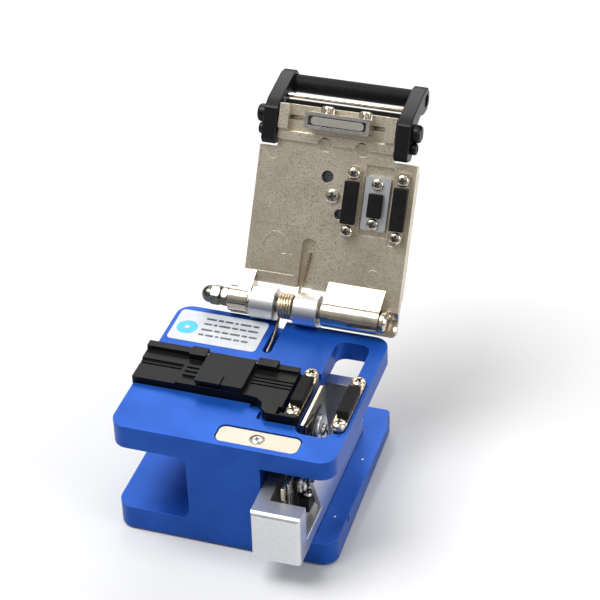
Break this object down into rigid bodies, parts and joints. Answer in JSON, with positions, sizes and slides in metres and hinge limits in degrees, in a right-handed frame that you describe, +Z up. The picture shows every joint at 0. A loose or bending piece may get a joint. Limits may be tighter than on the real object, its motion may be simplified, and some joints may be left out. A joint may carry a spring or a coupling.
{
  "type": "optical fibre cleaver",
  "caption": "Bench optical fibre cleaver: C-shaped metal body, sliding blade carriage, fibre adapter with a hinged leaf, and a sprung lid with clamp pads, magnet catch and handle.",
  "frame": {"origin": "centre of the underside of the rubber sole under the base", "axes": "+X along the fibre, towards the slider side; +Y from the front towards the lid hinge; +Z up"},
  "size_m": [0.0641, 0.1142, 0.0928],
  "materials": {
    "blue_anodised": "satin blue anodised machined aluminium",
    "nickel_diecast": "satin nickel-plated die casting with a fine grain",
    "bright_nickel": "bright nickel plate",
    "cream_nickel": "polished warm nickel plate",
    "brass_nickel": "nickel-plated brass, worn warm",
    "satin_aluminium": "satin bead-blasted aluminium",
    "steel": "polished steel",
    "dark_steel": "dark ground steel and carbide",
    "magnet_grey": "matt plated magnet",
    "black_plastic": "black moulded engineering plastic",
    "black_anodised": "black anodised aluminium",
    "black_rubber": "matt black rubber",
    "label_white": "white printed film"
  },
  "bodies": {
    "frame": {"body_frame": "blue_anodised", "rubber_sole": "black_rubber", "hinge_boss_left": "satin_aluminium", "hinge_boss_right": "satin_aluminium", "hinge_bolt": "bright_nickel", "hinge_lock_nut": "steel", "hinge_cap_nut": "steel", "torsion_spring": "steel", "catch_plate": "cream_nickel", "catch_plate_screw": "steel", "notice_label": "label_white", "lower_clamp_carrier_left": "bright_nickel", "lower_clamp_carrier_right": "bright_nickel", "lower_clamp_pad_left": "black_rubber", "lower_clamp_pad_right": "black_rubber", "lower_clamp_screw_left_front": "brass_nickel", "lower_clamp_screw_left_rear": "brass_nickel", "lower_clamp_screw_right_front": "brass_nickel", "lower_clamp_screw_right_rear": "brass_nickel", "fibre_adapter": "black_plastic", "leaf_hinge_pin": "steel", "linear_rail": "steel"},
    "leaf": {"adapter_leaf": "black_plastic"},
    "slider": {"slider_block": "satin_aluminium", "rail_carriage": "dark_steel", "guard_plate": "bright_nickel", "blade_plate": "steel", "blade_lever": "black_anodised", "lever_pivot_screw": "steel", "height_screw": "steel"},
    "blade": {"blade_wheel": "dark_steel", "blade_hub": "satin_aluminium", "blade_clamp_screw": "steel"},
    "lid": {"lid": "nickel_diecast", "upper_clamp_holder_left": "bright_nickel", "upper_clamp_holder_right": "bright_nickel", "upper_clamp_pad_left": "black_rubber", "upper_clamp_pad_right": "black_rubber", "upper_clamp_screw_left_outer": "bright_nickel", "upper_clamp_screw_left_inner": "bright_nickel", "upper_clamp_screw_right_outer": "bright_nickel", "upper_clamp_screw_right_inner": "bright_nickel", "lid_screw": "bright_nickel", "magnet_housing": "bright_nickel", "catch_magnet": "magnet_grey", "magnet_screw_left": "bright_nickel", "magnet_screw_right": "bright_nickel", "handle_arm_left": "black_anodised", "handle_arm_right": "black_anodised", "arm_screw_left": "black_anodised", "arm_screw_right": "black_anodised", "arm_lock_screw_left": "black_anodised", "arm_lock_screw_right": "black_anodised", "handle_bar": "black_rubber", "handle_cross_rod": "bright_nickel", "handle_cross_plate": "black_plastic"},
    "anvil": {"anvil_plate": "satin_aluminium", "anvil_pad": "black_rubber", "anvil_screw_outer": "bright_nickel", "anvil_screw_inner": "bright_nickel"}
  },
  "joints": [
    {"name": "lid_hinge", "type": "hinge", "parent": "frame", "child": "lid", "pos_m": [0, 0.0293, 0.04125], "axis": [1, 0, 0], "range_deg": [0, 119.1], "stiffness_Nm_per_rad": 0.012, "springref_deg": -34.38, "deforming": ["torsion_spring"]},
    {"name": "slider_travel", "type": "slide", "parent": "frame", "child": "slider", "axis": [0, 1, 0], "range_m": [0, 0.017]},
    {"name": "blade_index", "type": "hinge", "parent": "slider", "child": "blade", "pos_m": [0.0219, -0.0105, 0.0322], "axis": [1, 0, 0], "continuous": true},
    {"name": "anvil_press", "type": "slide", "parent": "lid", "child": "anvil", "axis": [0, -0.8738, 0.4863], "range_m": [0, 0.0008], "stiffness_N_per_m": 600, "springref_m": -0.0005},
    {"name": "leaf_hinge", "type": "hinge", "parent": "frame", "child": "leaf", "pos_m": [-0.0068, 0.0033, 0.0401], "axis": [1, 0, 0], "range_deg": [-100, 0]}
  ]
}
